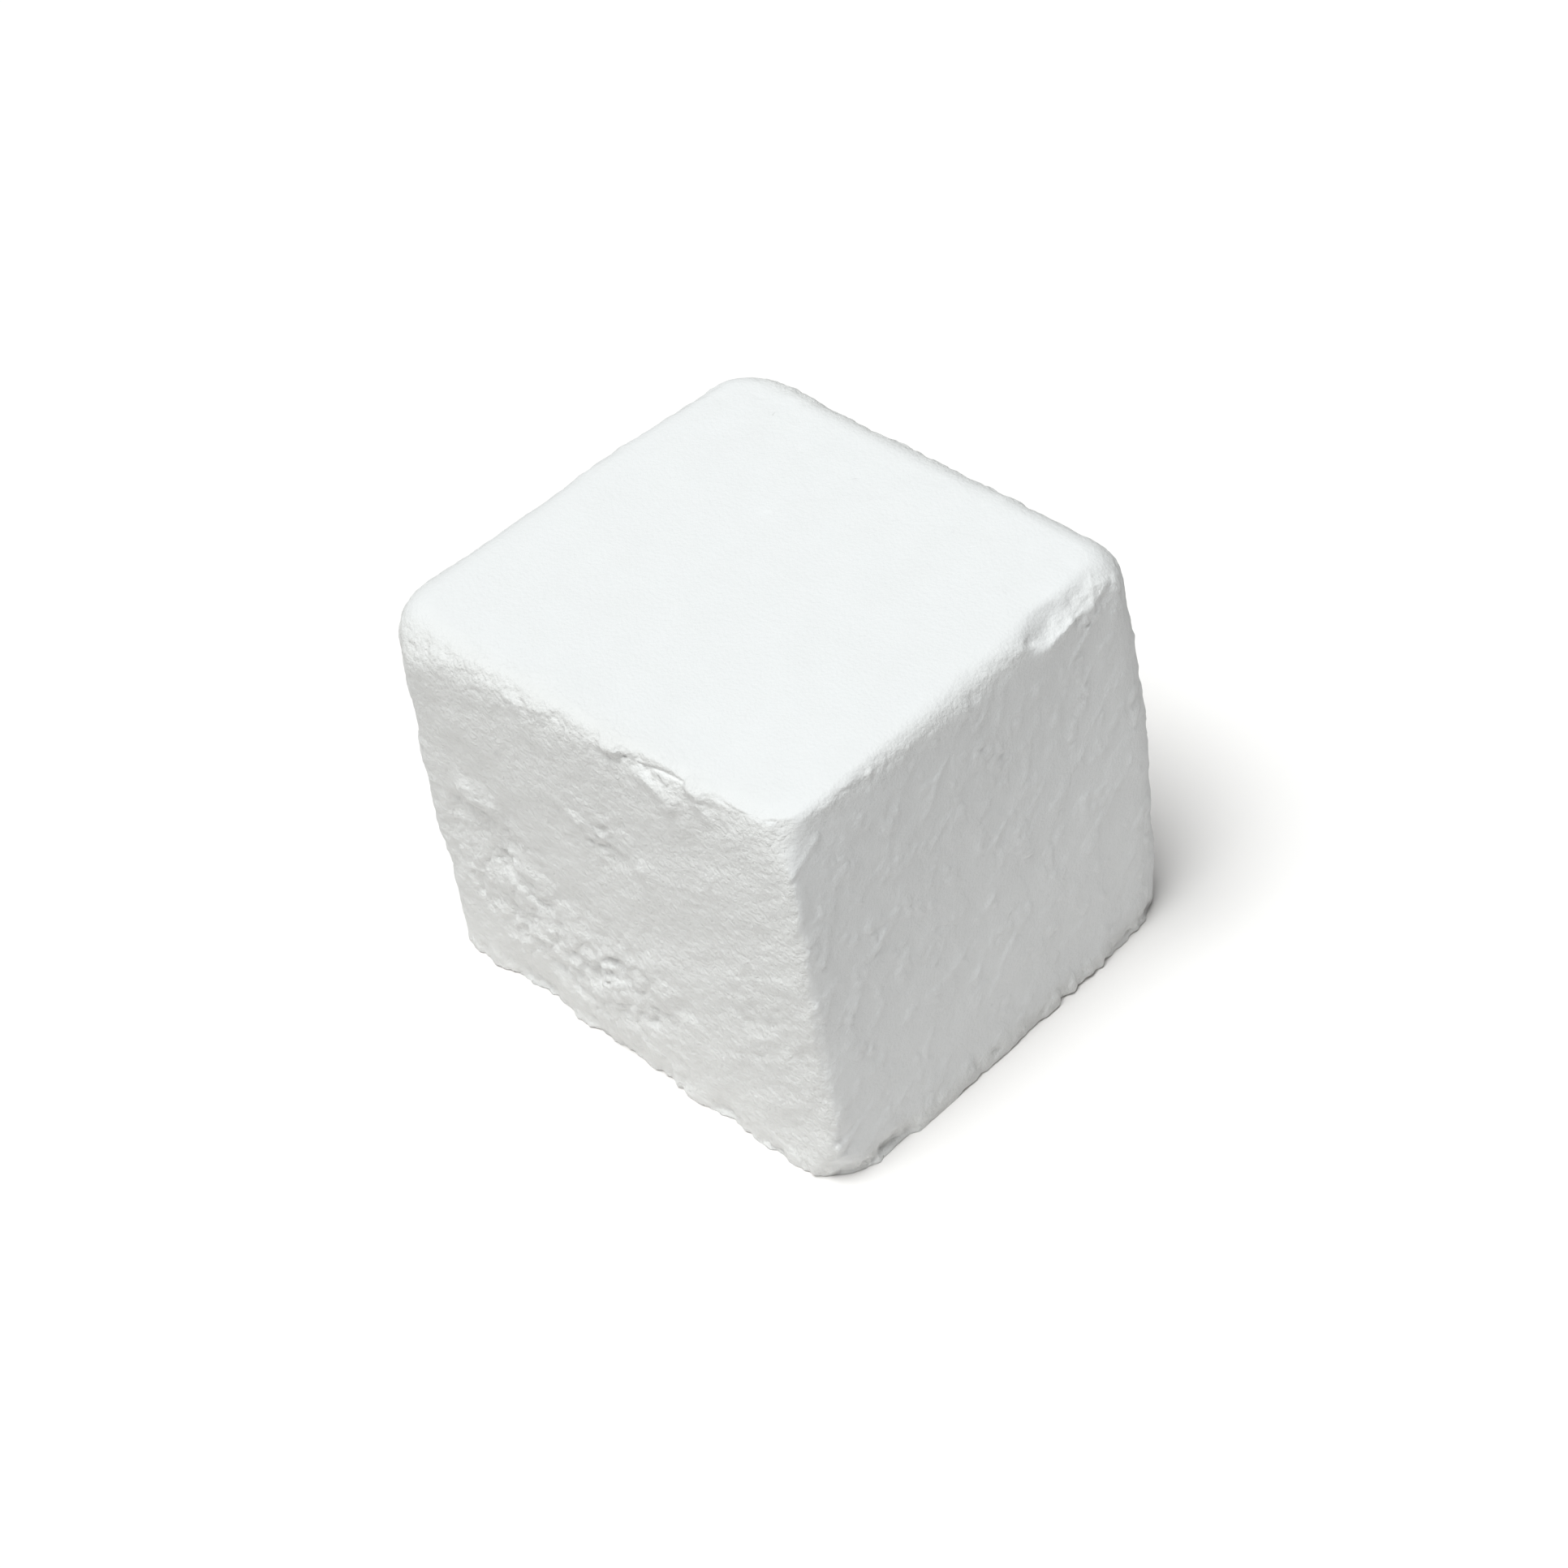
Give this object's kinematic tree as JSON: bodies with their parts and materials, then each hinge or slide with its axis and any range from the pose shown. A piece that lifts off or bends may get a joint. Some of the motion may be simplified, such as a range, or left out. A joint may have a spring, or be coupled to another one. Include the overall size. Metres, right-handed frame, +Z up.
{
  "type": "gymnastics chalk block",
  "caption": "Hand-sized, nearly cubic block of pressed magnesium carbonate chalk with rubbed corners and a chipped rim, standing on its flat base.",
  "frame": {"origin": "middle of the base, on the surface that the block stands on", "axes": "+Z up; +Y along the longer side, away from the smooth front side; -X is the rough, layered side"},
  "size_m": [0.051, 0.0576, 0.0455],
  "materials": {
    "chalk": "dry, powdery and fully matt"
  },
  "bodies": {
    "root": {"chalk_block": "chalk"}
  },
  "joints": []
}
